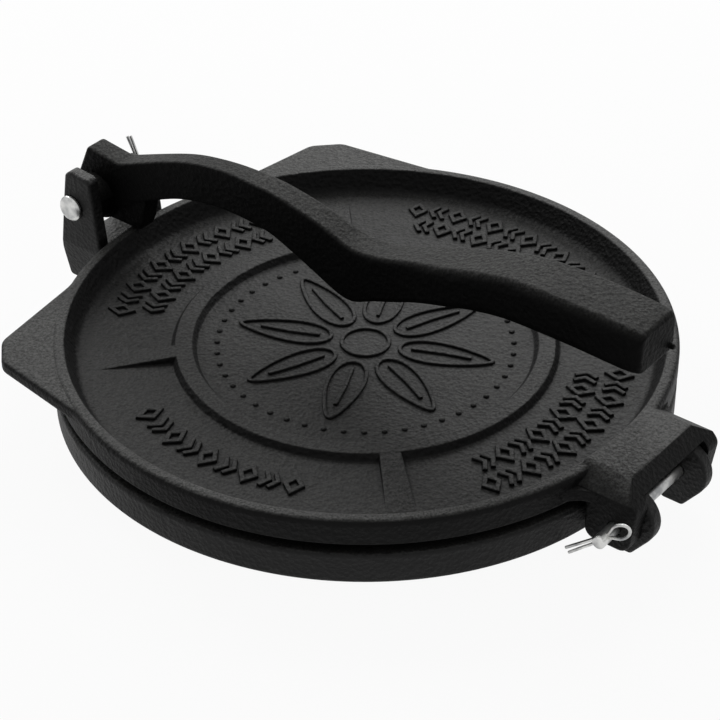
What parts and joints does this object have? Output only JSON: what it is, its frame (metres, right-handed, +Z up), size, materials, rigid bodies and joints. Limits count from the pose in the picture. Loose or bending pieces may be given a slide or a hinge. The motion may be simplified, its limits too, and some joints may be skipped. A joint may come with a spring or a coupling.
{
  "type": "tortilla press",
  "caption": "Cast iron tortilla press: a ribbed round plate hinged over a flat footed base, closed by a long arched lever held in a front clevis.",
  "frame": {"origin": "centre of the round plates on the surface that the feet stand on, which is the bottom centre of the whole box to within 2 mm", "axes": "+Z up, -Y towards the lever's clevis, +Y towards the plate hinge, both pins along X"},
  "size_m": [0.262, 0.3179, 0.0987],
  "materials": {
    "base_iron": "sand-cast, seasoned black",
    "plate_iron": "sand-cast, seasoned black",
    "lever_iron": "sand-cast, seasoned black",
    "pin_steel": "bright zinc plated",
    "cotter_steel": "bright zinc plated wire"
  },
  "bodies": {
    "base": {"base_plate": "base_iron", "lever_pin": "pin_steel", "lever_cotter": "cotter_steel", "hinge_pin": "pin_steel", "hinge_cotter": "cotter_steel"},
    "plate": {"upper_plate": "plate_iron"},
    "lever": {"press_lever": "lever_iron"}
  },
  "joints": [
    {"name": "lever_pivot", "type": "hinge", "parent": "base", "child": "lever", "pos_m": [0, -0.1482, 0.049], "axis": [1, 0, 0], "range_deg": [0, 178]},
    {"name": "plate_hinge", "type": "hinge", "parent": "base", "child": "plate", "pos_m": [0, 0.1444, 0.02], "axis": [-1, 0, 0], "range_deg": [0, 100]}
  ],
  "couplings": [
    {"joint": "plate_hinge", "follows": "lever_pivot", "ratio": 0.06}
  ]
}
